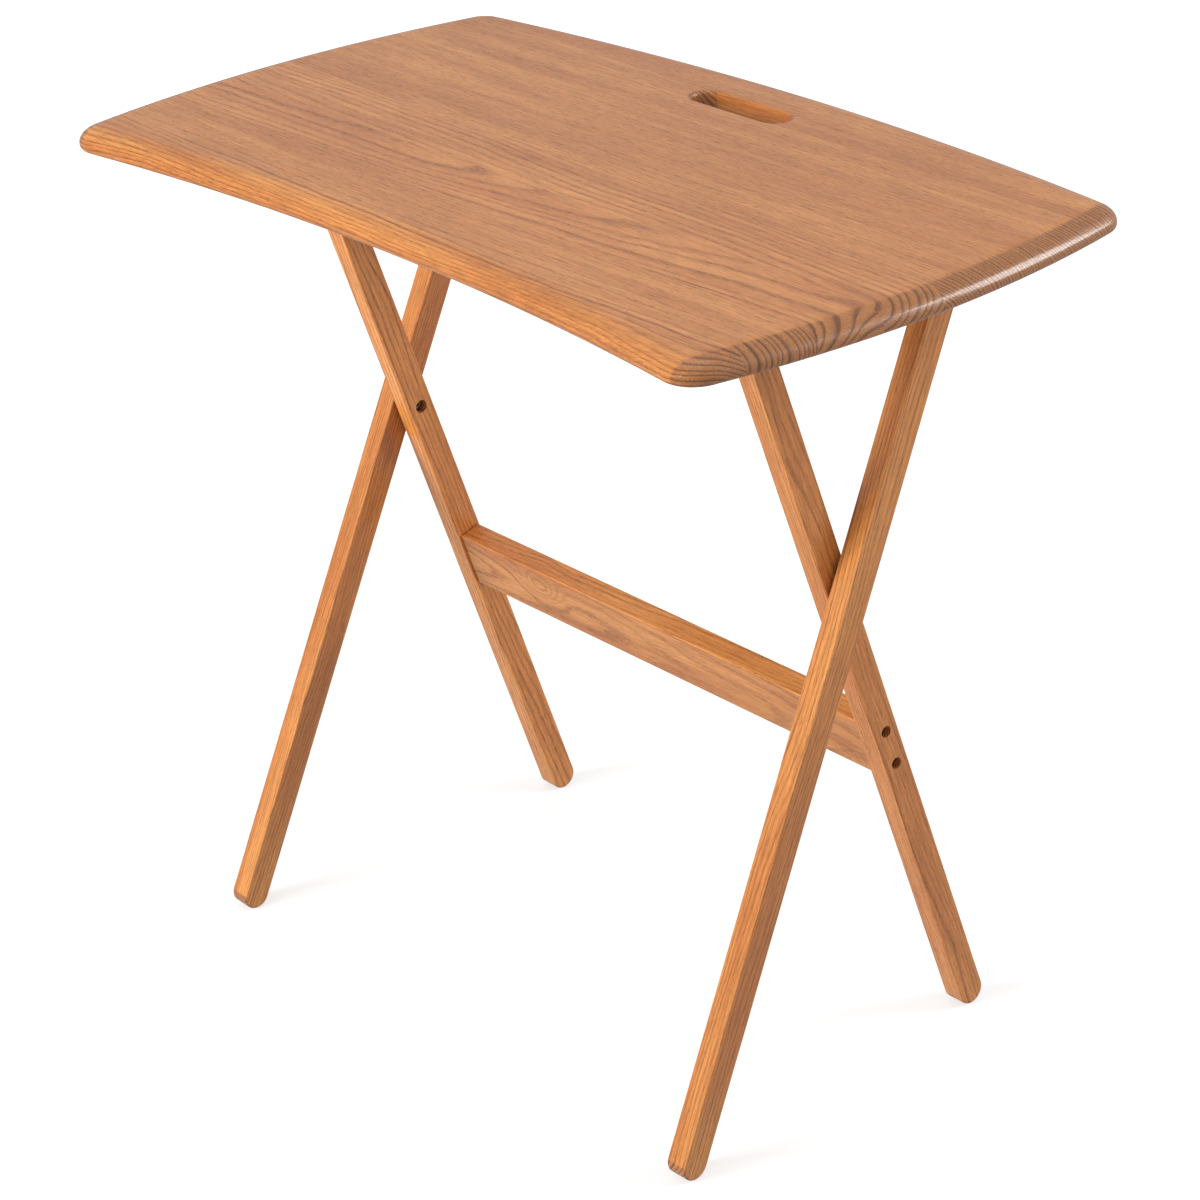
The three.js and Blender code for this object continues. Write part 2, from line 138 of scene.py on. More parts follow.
def make_camera():
    """The photograph's viewpoint: from the front right, above, with a long lens."""
    forward = Vector(
        (
            math.sin(CAMERA_AZIMUTH) * math.cos(CAMERA_FALL),
            math.cos(CAMERA_AZIMUTH) * math.cos(CAMERA_FALL),
            -math.sin(CAMERA_FALL),
        )
    )
    level = Vector((math.cos(CAMERA_AZIMUTH), -math.sin(CAMERA_AZIMUTH), 0))
    above = level.cross(forward)
    right = level * math.cos(CAMERA_ROLL) + above * math.sin(CAMERA_ROLL)
    up = above * math.cos(CAMERA_ROLL) - level * math.sin(CAMERA_ROLL)
    data = bpy.data.cameras.new("camera")
    data.sensor_width = CAMERA_SENSOR
    data.lens = CAMERA_LENS
    data.clip_end = CAMERA_REACH
    camera = bpy.data.objects.new("camera", data)
    turn = Matrix((right, up, -forward)).transposed().to_4x4()
    camera.matrix_world = Matrix.Translation(CAMERA_PLACE) @ turn
    bpy.context.collection.objects.link(camera)
    bpy.context.scene.camera = camera


make_camera()


# ---------- outlines: lists of (point, outward normal) ----------
def with_normals(points):
    """Adds each point's outward normal to a closed outline that runs counter-clockwise."""
    outline = []
    count = len(points)
    for i, point in enumerate(points):
        before = (point - points[i - 1]).normalized()
        after = (points[(i + 1) % count] - point).normalized()
        along = (before + after).normalized()
        outline.append((point, Vector((along.y, -along.x))))
    return outline


def arc(centre, radius, start, end, steps):
    """Points on an arc, both ends included; angles in radians."""
    points = []
    for i in range(steps + 1):
        angle = start + (end - start) * i / steps
        x = centre[0] + radius * math.cos(angle)
        y = centre[1] + radius * math.sin(angle)
        points.append(Vector((x, y)))
    return points


def top_outline():
    """The top's plan: four shallow parabolas joined by rounded corners."""
    edge_steps, corner_steps, handle = 64, 16, 0.58

    def bowed(half, bow, start_cut, end_cut, to_plan):
        points = []
        for i in range(edge_steps + 1):
            along = -half + start_cut + (2 * half - start_cut - end_cut) * i / edge_steps
            points.append(to_plan(along, bow * (1 - (along / half) ** 2)))
        return points

    def plan(x, y):
        return Vector((x, TOP_MIDDLE_Y + y))

    front, back = FRONT_CORNER_CUT, BACK_CORNER_CUT
    edges = [
        bowed(HALF_LENGTH, FRONT_HOLLOW, front, front, lambda a, out: plan(a, out - HALF_DEPTH)),
        bowed(HALF_DEPTH, END_BOW, front, back, lambda a, out: plan(HALF_LENGTH + out, a)),
        bowed(HALF_LENGTH, BACK_BOW, back, back, lambda a, out: plan(-a, HALF_DEPTH + out)),
        bowed(HALF_DEPTH, END_BOW, back, front, lambda a, out: plan(-HALF_LENGTH - out, -a)),
    ]
    corners = [
        plan(HALF_LENGTH, -HALF_DEPTH),
        plan(HALF_LENGTH, HALF_DEPTH),
        plan(-HALF_LENGTH, HALF_DEPTH),
        plan(-HALF_LENGTH, -HALF_DEPTH),
    ]
    points = []
    for i, edge in enumerate(edges):
        last, first = edge[-1], edges[(i + 1) % 4][0]
        near_last, near_first = last.lerp(corners[i], handle), first.lerp(corners[i], handle)
        points += edge
        for k in range(1, corner_steps):
            t = k / corner_steps
            s = 1 - t
            points.append(
                last * s**3 + near_last * 3 * s * s * t + near_first * 3 * s * t * t + first * t**3
            )
    return with_normals(points)


def stadium(centre, length, width, steps=24):
    """A slot's outline, long along the first axis."""
    half, radius = (length - width) / 2, width / 2
    right = arc((centre[0] + half, centre[1]), radius, -math.pi / 2, math.pi / 2, steps)
    left = arc((centre[0] - half, centre[1]), radius, math.pi / 2, 1.5 * math.pi, steps)
    return with_normals(right + left)


def circle(centre, steps=40):
    """A point for each direction round a centre, so that a ring's outset is its radius."""
    outline = []
    for i in range(steps):
        angle = 2 * math.pi * i / steps
        outline.append((Vector(centre), Vector((math.cos(angle), math.sin(angle)))))
    return outline


def polygon(corners, radius=1.0, steps=4):
    """A polygon's outline, from corners in counter-clockwise order, each rounded a little."""
    points = []
    count = len(corners)
    for i, corner in enumerate(corners):
        corner = Vector(corner)
        back = (Vector(corners[i - 1]) - corner).normalized() * radius
        ahead = (Vector(corners[(i + 1) % count]) - corner).normalized() * radius
        for k in range(steps + 1):
            t = k / steps
            points.append(corner + back * (1 - t) ** 2 + ahead * t**2)
    return with_normals(points)


# ---------- mesh building ----------
def quarter(radius_in, radius_down, low, high, steps, rising):
    """(outset, height) pairs round a quarter ellipse, from the low face or up to the high face."""
    pairs = []
    for i in range(steps + 1):
        angle = math.pi / 2 * i / steps
        if not rising:
            angle = math.pi / 2 - angle
        outset = radius_in * (math.cos(angle) - 1)
        reach = radius_down * math.sin(angle)
        pairs.append((outset, high - radius_down + reach if rising else low + radius_down - reach))
    return pairs


def eased_profile(low, high, ease=EDGE_EASE, steps=4):
    """The rings of a plate's wall, with both edges rounded by the same small radius."""
    below = quarter(ease, ease, low, high, steps, False)
    return below + quarter(ease, ease, low, high, steps, True)


def counterbored_hole(bore, low, high, from_low):
    """The rings of a counterbored hole; the wide part opens at the low or the high face."""
    near = 0.3 * HOLE_EASE
    pairs = [
        (bore + HOLE_EASE, 0),
        (bore + near, near),
        (bore, HOLE_EASE),
        (bore, COUNTERBORE_DEPTH),
        (SHANK_HOLE, COUNTERBORE_DEPTH),
        (SHANK_HOLE, high - low),
    ]
    if from_low:
        return [(radius, low + down) for radius, down in pairs]
    return [(radius, high - down) for radius, down in reversed(pairs)]


def ring_of(bm, outline, outset, height):
    return [
        bm.verts.new((p.x + n.x * outset, p.y + n.y * outset, height)) for p, n in outline
    ]


def join_rings(bm, rings):
    """Joins each ring to the next with quads."""
    for low, high in zip(rings, rings[1:]):
        for i in range(len(low)):
            j = (i + 1) % len(low)
            bm.faces.new((low[i], low[j], high[j], high[i]))


def wall(bm, outline, profile):
    """Rings joined by quads; returns the first and the last ring."""
    rings = [ring_of(bm, outline, outset, height) for outset, height in profile]
    join_rings(bm, rings)
    return rings[0], rings[-1]


def cap(bm, loops, facing):
    """Fills a flat face between its outer loop and the loops of its holes."""
    edges = []
    for loop in loops:
        for i, vert in enumerate(loop):
            nearby = loop[(i + 1) % len(loop)]
            edges.append(bm.edges.get((vert, nearby)))
    bmesh.ops.triangle_fill(bm, use_beauty=True, edges=edges, normal=(0, 0, facing))


def weight_normals(piece):
    weighted = piece.modifiers.new("face-weighted normals", "WEIGHTED_NORMAL")
    weighted.keep_sharp = True


def to_object(bm, name, place, material):
    """Finishes a mesh in millimetres as an object in metres, at its place in the model's frame."""
    bmesh.ops.remove_doubles(bm, verts=bm.verts, dist=1e-4)
    bm.transform(Matrix.Scale(MM, 4) @ place)
    bmesh.ops.recalc_face_normals(bm, faces=bm.faces)
    mesh = bpy.data.meshes.new(name)
    bm.to_mesh(mesh)
    bm.free()
    mesh.polygons.foreach_set("use_smooth", [True] * len(mesh.polygons))
    mesh.set_sharp_from_angle(angle=SMOOTH_BELOW)
    mesh.materials.append(material)
    piece = bpy.data.objects.new(name, mesh)
    bpy.context.collection.objects.link(piece)
    weight_normals(piece)
    return piece


def plate(name, outline, profile, holes, place, material):
    """A plate in its own frame: outline in local X and Y, thickness along local Z."""
    bm = bmesh.new()
    low, high = wall(bm, outline, profile)
    lows, highs = [low], [high]
    for hole_outline, hole_profile in holes:
        hole_low, hole_high = wall(bm, hole_outline, hole_profile)
        lows.append(hole_low)
        highs.append(hole_high)
    cap(bm, lows, -1)
    cap(bm, highs, 1)
    return to_object(bm, name, place, material)


def fasten(piece, node, body):
    """Makes a piece stand for its CAD node."""
    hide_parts(node)
    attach(piece, body)


# ---------- materials ----------
class Tree:
    """Short ways to add nodes to a tree and link them."""

    def __init__(self, tree):
        self.tree = tree

    def add(self, kind, inputs=None, **settings):
        """A new node; each input is a constant, or a socket to link to it."""
        node = self.tree.nodes.new(kind)
        for key, value in settings.items():
            setattr(node, key, value)
        for key, value in (inputs or {}).items():
            if isinstance(value, bpy.types.NodeSocket):
                self.tree.links.new(value, node.inputs[key])
            else:
                node.inputs[key].default_value = value
        return node

    def surface(self, inputs):
        """The material's shader, linked to its output."""
        shader = self.add("ShaderNodeBsdfPrincipled", inputs)
        self.add("ShaderNodeOutputMaterial", {0: shader.outputs[0]})

    def math(self, operation, first, second=0.0):
        node = self.add("ShaderNodeMath", {0: first, 1: second}, operation=operation)
        return node.outputs[0]

    def vector(self, operation, first, second):
        node = self.add("ShaderNodeVectorMath", {0: first, 1: second}, operation=operation)
        return node.outputs["Value" if operation == "DOT_PRODUCT" else 0]

    def noise(self, position, stretch, seed, detail=0.0, roughness=0.5):
        """Noise whose features are about stretch millimetres long along X, Y and Z."""
        scaled = self.vector("MULTIPLY", position, tuple(1 / s for s in stretch))
        inputs = {
            "Vector": scaled,
            "W": seed,
            "Scale": 1.0,
            "Detail": detail,
            "Roughness": roughness,
        }
        return self.add("ShaderNodeTexNoise", inputs, noise_dimensions="4D")

    def step(self, value, low, high, to_low=0.0, to_high=1.0):
        """A smooth step between two values."""
        inputs = {
            "Value": value,
            "From Min": low,
            "From Max": high,
            "To Min": to_low,
            "To Max": to_high,
        }
        node = self.add("ShaderNodeMapRange", inputs, interpolation_type="SMOOTHSTEP")
        return node.outputs[0]

    def mix(self, factor, first, second, blend="MIX"):
        """A mix of two colours: sockets 0, 6 and 7 in and 2 out are the Mix node's colour ones."""
        inputs = {0: factor, 6: first, 7: second}
        node = self.add("ShaderNodeMix", inputs, data_type="RGBA", blend_type=blend)
        return node.outputs[2]

    def mix_values(self, factor, first, second):
        """A mix of two numbers: sockets 0, 2 and 3 in and 0 out."""
        return self.add("ShaderNodeMix", {0: factor, 2: first, 3: second}).outputs[0]

    def split(self, vector):
        return self.add("ShaderNodeSeparateXYZ", {0: vector}).outputs


# Colours of the lacquered ash, along the grain and across it.
LIGHT_WOOD = (0.62, 0.252, 0.066, 1)
DEEP_WOOD = (0.48, 0.165, 0.038, 1)
RING_WOOD = (0.29, 0.088, 0.019, 1)
PORE_WOOD = (0.16, 0.046, 0.012, 1)
END_WOOD = (0.43, 0.170, 0.050, 1)
END_RING_WOOD = (0.085, 0.022, 0.006, 1)

# Sizes in the wood, in millimetres along X (the grain), Y and Z.
WANDER_SIZE = (330, 90, 90)
WAVE_SIZE = (60, 16, 16)
FIBRE_SIZE = (24, 0.8, 0.8)
PORE_SIZE = (6, 0.65, 0.65)
FIGURE_SIZE = (240, 18, 18)
PITH_WANDER = 26
RING_WAVE = 2.8
KNOT_SWELL = 13
KNOT_SHARPNESS = (0.045, 0.075, 0.03)
FAR_KNOT = (0, 0, 1000)

# Noise levels between which each thing goes from absent to full.
PORE_LEVELS = (0.51, 0.62)
FIGURE_LEVELS = (0.32, 0.68)
FIBRE_LEVELS = (0.30, 0.70)

# Strengths, from 0 to 1. The unevenness is in rings, and the shades multiply the colour.
RING_UNEVENNESS = 1.3
FAINTEST_RING = 0.4
FAINTEST_END_RING = 0.75
END_CONTRAST = 0.95
PORES_IN_LATE_WOOD = 0.35
PORE_STRENGTH = 0.5
FIBRE_SHADES = (0.80, 1.20)
LACQUER_ROUGHNESS = 0.36
PORE_ROUGHNESS = 0.25

# Relief: the depth of a pore in millimetres, and the rest as parts of it.
PORE_DEPTH = 0.3
FIBRE_RELIEF = 0.25
RING_RELIEF = 0.2
END_RING_RELIEF = 0.9

# How much early wood there is through a year's ring: at its ends, and at places between.
RING_START = 0.1
RING_SHADES = ((0.08, 0.9), (0.2, 1.0), (0.4, 0.3), (0.65, 0.03))

# A face becomes end grain as its normal turns towards the grain: cosines, none to all.
END_GRAIN_FACING = (0.12, 0.21)

# A painted highlight: a lighter strip that starts and is full this far inside a board's long edges,
# in millimetres.
EDGE_HIGHLIGHT_FROM = 1.1
EDGE_HIGHLIGHT_TO = 0.3
EDGE_HIGHLIGHT_TONE = 0.4


def pith_distance(t, given):
    """How far each place is from the pith, swollen round the knot."""
    position, seed = given["Position"], given["Seed"]
    x, y, z = t.split(position)

    # The pith wanders slowly along the board, and the rings are a little wavy.
    half = (0.5, 0.5, 0.5)
    slow = t.noise(position, WANDER_SIZE, seed, 1).outputs["Color"]
    slow = t.split(t.vector("SUBTRACT", slow, half))
    wavy = t.noise(position, WAVE_SIZE, t.math("ADD", seed, 3.1), 1).outputs["Color"]
    wavy = t.split(t.vector("SUBTRACT", wavy, half))

    def from_pith(value, pith, slow_part, wavy_part):
        offset = t.math("SUBTRACT", value, pith)
        offset = t.math("ADD", offset, t.math("MULTIPLY", slow_part, PITH_WANDER))
        return t.math("ADD", offset, t.math("MULTIPLY", wavy_part, RING_WAVE))

    dy = from_pith(y, given["Pith Y"], slow[1], wavy[1])
    dz = from_pith(z, given["Pith Z"], slow[2], wavy[2])
    dz = t.math("ADD", dz, t.math("MULTIPLY", x, given["Slope"]))
    squares = t.math("ADD", t.math("MULTIPLY", dy, dy), t.math("MULTIPLY", dz, dz))

    to_knot = t.vector("SUBTRACT", position, given["Knot"])
    to_knot = t.vector("MULTIPLY", to_knot, KNOT_SHARPNESS)
    falling = t.math("MULTIPLY", t.vector("DOT_PRODUCT", to_knot, to_knot), -1)
    swell = t.math("MULTIPLY", t.math("EXPONENT", falling), KNOT_SWELL)
    return t.math("ADD", t.math("SQRT", squares), swell)


def early_wood(t, given, radius):
    """How much early wood shows: growth rings of uneven width and strength."""
    seed = given["Seed"]
    rings = t.math("DIVIDE", radius, given["Spacing"])
    uneven = t.add(
        "ShaderNodeTexNoise",
        {"W": t.math("ADD", t.math("MULTIPLY", rings, 0.31), seed), "Scale": 1.0, "Detail": 1.0},
        noise_dimensions="1D",
    ).outputs[0]
    rings = t.math("ADD", rings, t.math("MULTIPLY", uneven, RING_UNEVENNESS))
    number = t.math("ADD", t.math("FLOOR", rings), t.math("MULTIPLY", seed, 17.0))
    strength = t.add("ShaderNodeTexWhiteNoise", {"W": number}, noise_dimensions="1D").outputs[0]
    strength = t.math("MULTIPLY", strength, 1 - FAINTEST_RING)
    strength = t.math("ADD", strength, FAINTEST_RING)
    at_end = t.math("MULTIPLY", given["Across Grain"], FAINTEST_END_RING)
    strength = t.math("MAXIMUM", strength, at_end)

    ramp = t.add("ShaderNodeValToRGB", {0: t.math("FRACT", rings)})
    stops = ramp.color_ramp.elements
    for stop, place in zip(stops, (0.0, 1.0)):
        stop.position = place
        stop.color = (RING_START, RING_START, RING_START, 1)
    for place, value in RING_SHADES:
        stops.new(place).color = (value, value, value, 1)
    return t.math("MULTIPLY", ramp.outputs[0], strength)


def make_wood_group():
    """Solid ash: growth rings about a curved pith, pores in the early wood, fibre and soft figure.

    Position is in millimetres with the grain along X, so a face across the grain shows ring
    arcs and a face along it shows straight or arched figure. Rings swirl round the knot.
    The numbers added to the seed keep the noises apart.
    """
    group = bpy.data.node_groups.new("ash wood", "ShaderNodeTree")
    sockets = {
        "INPUT": (
            ("Position", "NodeSocketVector"),
            ("Across Grain", "NodeSocketFloat"),
            ("Pith Y", "NodeSocketFloat"),
            ("Pith Z", "NodeSocketFloat"),
            ("Slope", "NodeSocketFloat"),
            ("Spacing", "NodeSocketFloat"),
            ("Contrast", "NodeSocketFloat"),
            ("Seed", "NodeSocketFloat"),
            ("Tone", "NodeSocketFloat"),
            ("Knot", "NodeSocketVector"),
        ),
        "OUTPUT": (
            ("Color", "NodeSocketColor"),
            ("Height", "NodeSocketFloat"),
            ("Roughness", "NodeSocketFloat"),
        ),
    }
    for way, rows in sockets.items():
        for name, kind in rows:
            group.interface.new_socket(name, in_out=way, socket_type=kind)

    t = Tree(group)
    given = group.nodes.new("NodeGroupInput").outputs
    position, seed, across = given["Position"], given["Seed"], given["Across Grain"]
    early = early_wood(t, given, pith_distance(t, given))

    # Fibre, pores and soft figure, all drawn out along the grain.
    fibre = t.noise(position, FIBRE_SIZE, seed, 2, 0.6).outputs[0]
    vessels = t.noise(position, PORE_SIZE, seed, 1, 0.55).outputs[0]
    figure = t.noise(position, FIGURE_SIZE, t.math("ADD", seed, 9.7), 2, 0.55).outputs[0]
    share = t.math("MULTIPLY", early, 1 - PORES_IN_LATE_WOOD)
    share = t.math("ADD", share, PORES_IN_LATE_WOOD)
    pores = t.math("MULTIPLY", t.step(vessels, *PORE_LEVELS), share)

    base = t.mix(t.step(figure, *FIGURE_LEVELS), LIGHT_WOOD, DEEP_WOOD)
    base = t.mix(across, base, END_WOOD)
    ring_colour = t.mix(across, RING_WOOD, END_RING_WOOD)
    amount = t.math("MULTIPLY", early, t.mix_values(across, given["Contrast"], END_CONTRAST))
    colour = t.mix(amount, base, ring_colour)
    colour = t.mix(t.math("MULTIPLY", pores, PORE_STRENGTH), colour, PORE_WOOD)
    shade = t.step(fibre, *FIBRE_LEVELS, *FIBRE_SHADES)
    shade = t.math("MULTIPLY", shade, given["Tone"])
    grey = t.add("ShaderNodeCombineColor", {0: shade, 1: shade, 2: shade}).outputs[0]
    colour = t.mix(1.0, colour, grey, "MULTIPLY")

    # The lacquer sinks over the pores and over the soft early wood.
    height = t.math("SUBTRACT", t.math("MULTIPLY", fibre, FIBRE_RELIEF), pores)
    relief = t.mix_values(across, RING_RELIEF, END_RING_RELIEF)
    height = t.math("SUBTRACT", height, t.math("MULTIPLY", early, relief))
    rough = t.math("ADD", t.math("MULTIPLY", pores, PORE_ROUGHNESS), LACQUER_ROUGHNESS)

    t.add("NodeGroupOutput", {"Color": colour, "Height": height, "Roughness": rough})
    return group


wood_group = make_wood_group()


def new_material(name):
    material = bpy.data.materials.new(name)
    material.use_nodes = True
    material.node_tree.nodes.clear()
    return material, Tree(material.node_tree)


def stave_values(t, y, staves):
    """Sockets with the rings' numbers for the stave at a place across the board.

    Each number is looked up in a stepped colour ramp, scaled into 0 to 1 and back.
    """
    low = staves[0]["front"]
    high = staves[-1]["front"] + LAST_STAVE_WIDTH
    span = {"Value": y, "From Min": low, "From Max": high}
    where = t.add("ShaderNodeMapRange", span).outputs[0]
    backs = [stave["front"] for stave in staves[1:]] + [high]
    rows = []
    for stave, back in zip(staves, backs):
        middle = (stave["front"] + back) / 2
        rows.append(
            {
                "Pith Y": middle + stave["pith"][0],
                "Pith Z": TABLE_HEIGHT + stave["pith"][1],
                "Slope": stave["slope"],
                "Spacing": stave["spacing"],
                "Contrast": stave["contrast"],
                "Seed": stave["seed"],
                "Tone": stave["tone"],
            }
        )
    sockets = {"Knot": FAR_KNOT}
    for key in rows[0]:
        lowest = min(row[key] for row in rows)
        highest = max(row[key] for row in rows)
        ramp = t.add("ShaderNodeValToRGB", {0: where})
        ramp.color_ramp.interpolation = "CONSTANT"
        stops = ramp.color_ramp.elements
        stops.remove(stops[1])
        for i, (stave, row) in enumerate(zip(staves, rows)):
            place = (stave["front"] - low) / (high - low)
            stop = stops[0] if i == 0 else stops.new(place)
            stop.position = place
            level = (row[key] - lowest) / (highest - lowest)
            stop.color = (level, level, level, 1)
        scaled = t.math("MULTIPLY", ramp.outputs[0], highest - lowest)
        sockets[key] = t.math("ADD", scaled, lowest)
    return sockets


def painted_edge_highlight(t, position, section):
    """A painted highlight: how much lighter the wood is, up to the highlight's full tone, in a
    strip along a board's long edges.
    """
    _, y, z = t.split(position)
    beside = [
        t.math("SUBTRACT", t.math("ABSOLUTE", value), half) for value, half in zip((y, z), section)
    ]
    return t.step(t.math("MINIMUM", *beside), -EDGE_HIGHLIGHT_FROM, -EDGE_HIGHLIGHT_TO, 0.0, EDGE_HIGHLIGHT_TONE)


def wood_material(name, place, rings=None, staves=None, section=None):
    """Lacquered wood with its grain along the local X axis of a piece built at that place.

    Rings gives one board's numbers; staves gives a row for each board of an edge-glued one.
    With half a section's (Y, Z) sizes, a painted highlight lightens a strip along the long edges.
    """
    material, t = new_material(name)
    coordinates = t.add("ShaderNodeTexCoord").outputs
    position = t.add(
        "ShaderNodeMapping",
        {
            "Vector": coordinates["Object"],
            "Location": place.to_translation() * MM,
            "Rotation": place.to_euler(),
            "Scale": (MM, MM, MM),
        },
        vector_type="TEXTURE",
    ).outputs[0]
    grain = place.to_3x3() @ Vector((1, 0, 0))
    facing = t.math("ABSOLUTE", t.vector("DOT_PRODUCT", coordinates["Normal"], grain))
    across = t.step(facing, *END_GRAIN_FACING)
    values = rings or stave_values(t, t.split(position)[1], staves)
    values |= {"Position": position, "Across Grain": across}
    if section:
        # The painted highlight along the long edges is added to the wood's tone.
        values["Tone"] = t.math("ADD", painted_edge_highlight(t, position, section), values["Tone"])
    wood = t.add("ShaderNodeGroup", values, node_tree=wood_group).outputs
    relief = {"Height": wood["Height"], "Strength": 0.35, "Distance": PORE_DEPTH * MM}
    t.surface(
        {
            "Base Color": wood["Color"],
            "Roughness": wood["Roughness"],
            "Normal": t.add("ShaderNodeBump", relief).outputs[0],
            "IOR": 1.5,
            "Coat Weight": 0.45,
            "Coat Roughness": 0.14,
        }
    )
    return material


def steel_material():
    """Dull zinc-plated steel with a fine mottle."""
    material, t = new_material("zinc-plated steel")
    place = t.add("ShaderNodeTexCoord").outputs["Object"]
    marks = t.add("ShaderNodeTexNoise", {"Vector": place, "Scale": 900.0, "Detail": 3.0}).outputs[0]
    colour = t.mix(t.step(marks, 0.3, 0.7), (0.30, 0.27, 0.22, 1), (0.50, 0.46, 0.38, 1))
    rough = t.step(marks, 0.2, 0.8, 0.32, 0.5)
    t.surface({"Base Color": colour, "Roughness": rough, "Metallic": 1.0})
    return material


def nylon_material():
    """Dark moulded nylon with a faint grain."""
    material, t = new_material("dark nylon")
    place = t.add("ShaderNodeTexCoord").outputs["Object"]
    fine = {"Vector": place, "Scale": 1500.0, "Detail": 2.0}
    grain = t.add("ShaderNodeTexNoise", fine).outputs[0]
    colour = t.mix(t.step(grain, 0.3, 0.7), (0.020, 0.016, 0.013, 1), (0.034, 0.028, 0.024, 1))
    bump = t.add("ShaderNodeBump", {"Height": grain, "Strength": 0.2, "Distance": 0.0001})
    t.surface({"Base Color": colour, "Roughness": 0.5, "Normal": bump.outputs[0]})
    return material


# ---------- the top ----------
LAST_STAVE_WIDTH = 60


def stave(front, pith, spacing, contrast, seed, tone, slope):
    """A board of the top: its front edge (Y), and its pith from the middle of its upper face."""
    return {
        "front": front,
        "pith": pith,
        "spacing": spacing,
        "contrast": contrast,
        "seed": seed,
        "tone": tone,
        "slope": slope,
    }


STAVES = [
    stave(-215, (-12, -70), 2.8, 0.90, 1.3, 1.00, 0.010),
    stave(-168, (-150, 20), 4.4, 0.40, 2.9, 0.98, 0.030),
    stave(-115, (27, -44), 5.2, 0.85, 4.1, 1.03, 0.050),
    stave(-62, (-42, 44), 4.6, 0.75, 5.6, 1.00, -0.040),
    stave(-11, (-105, -90), 2.5, 0.45, 7.2, 0.96, 0.015),
    stave(37, (-120, -80), 2.4, 0.35, 8.8, 0.97, -0.020),
    stave(85, (-110, -85), 2.4, 0.40, 10.3, 0.95, 0.020),
    stave(136, (-115, -75), 2.6, 0.45, 12.7, 0.95, 0.015),
    stave(187, (-60, -80), 3.2, 0.35, 14.1, 0.96, -0.020),
]


def make_top():
    profile = quarter(UNDER_ROUND, UNDER_ROUND, UNDERSIDE, TABLE_HEIGHT, RIM_STEPS, False)
    profile += quarter(EDGE_ROUND_IN, EDGE_ROUND_DOWN, UNDERSIDE, TABLE_HEIGHT, EDGE_STEPS, True)
    slot = stadium((SLOT_X, SLOT_Y), SLOT_LENGTH, SLOT_WIDTH)
    rims = quarter(-SLOT_RIM, SLOT_RIM, UNDERSIDE, TABLE_HEIGHT, RIM_STEPS, False)
    rims += quarter(-SLOT_RIM, SLOT_RIM, UNDERSIDE, TABLE_HEIGHT, RIM_STEPS, True)
    material = wood_material("edge-glued ash", Matrix(), staves=STAVES)
    piece = plate("top", top_outline(), profile, [(slot, rims)], Matrix(), material)
    fasten(piece, "tray_top", "tray")


# ---------- legs and rail ----------
# Local frame of a leg: X up along it from the pivot, Y across it to the back, Z through it.
LEG_AXES = Matrix(((0, 0, -1), (0, 1, 0), (1, 0, 0))).to_4x4()
# Local frame of the rail: X along it, Y up it, Z through it to the front.
RAIL_AXES = Matrix(((1, 0, 0), (0, 0, -1), (0, 1, 0))).to_4x4()
PIVOT = Matrix.Translation((0, PIVOT_Y, PIVOT_HEIGHT))


def board_rings(pith, slope, spacing, contrast, seed, tone, knot=FAR_KNOT):
    """The numbers of a single board's rings; pith and knot in the board's own frame."""
    return {
        "Pith Y": pith[0],
        "Pith Z": pith[1],
        "Slope": slope,
        "Spacing": spacing,
        "Contrast": contrast,
        "Seed": seed,
        "Tone": tone,
        "Knot": knot,
    }


def leg_outline(down, up):
    top = arc((up, 0), LEG_END, -math.pi / 2, math.pi / 2, 20)
    foot = arc((-down, 0), LEG_END, math.pi / 2, 1.5 * math.pi, 20)
    return with_normals(top + foot)


def foot_along(lean, splay):
    rise = LEG_END + LEG_THICKNESS / 2 * math.sin(splay)
    return (PIVOT_HEIGHT - rise) / (math.cos(lean) * math.cos(splay))


def leg_place(side, lean, distance, splay):
    return (
        PIVOT
        @ Matrix.Rotation(lean, 4, "X")
        @ Matrix.Translation((side * distance, 0, 0))
        @ Matrix.Rotation(-side * splay, 4, "Y")
        @ LEG_AXES
    )


def make_leg(kind, name, outline, holes, place, rings):
    half = LEG_THICKNESS / 2
    section = (LEG_WIDTH / 2, half)
    material = wood_material(f"ash {kind} leg {name}", place, rings, section=section)
    profile = eased_profile(-half, half)
    piece = plate(f"{kind}_leg_{name}_ash", outline, profile, holes, place, material)
    fasten(piece, f"{kind}_leg_{name}", f"{kind}_frame")


def make_outer_leg(side, name):
    outline = leg_outline(foot_along(OUTER_LEAN, OUTER_SPLAY), HINGE_ALONG)
    place = leg_place(side, -OUTER_LEAN, OUTER_X, OUTER_SPLAY)
    seed = 21.3 + 4 * side
    rings = board_rings((30 * side, -34), 0.02 * side, 2.3, 0.75, seed, 1.1)
    make_leg("outer", name, outline, [], place, rings)


def make_inner_leg(side, name):
    # The face towards the middle of the table is at local +Z on the right leg.
    inner_is_low = side < 0
    low, high = -LEG_THICKNESS / 2, LEG_THICKNESS / 2
    holes = [(circle((0, 0)), counterbored_hole(PIVOT_BORE, low, high, inner_is_low))]
    for up in (-1, 1):
        along = -RAIL_BELOW_PIVOT + up * RAIL_SCREW_SPACING / 2
        sides = counterbored_hole(RAIL_BORE, low, high, not inner_is_low)
        holes.append((circle((along, 0)), sides))
    outline = leg_outline(foot_along(INNER_LEAN, INNER_SPLAY), INNER_TOP_ALONG - LEG_END)
    place = leg_place(side, INNER_LEAN, INNER_X, INNER_SPLAY)
    seed, tone = 31.7 + 5 * side, 1.24 - 0.06 * side
    rings = board_rings((-26 * side, 30), -0.02 * side, 2.6, 0.75, seed, tone)
    make_leg("inner", name, outline, holes, place, rings)


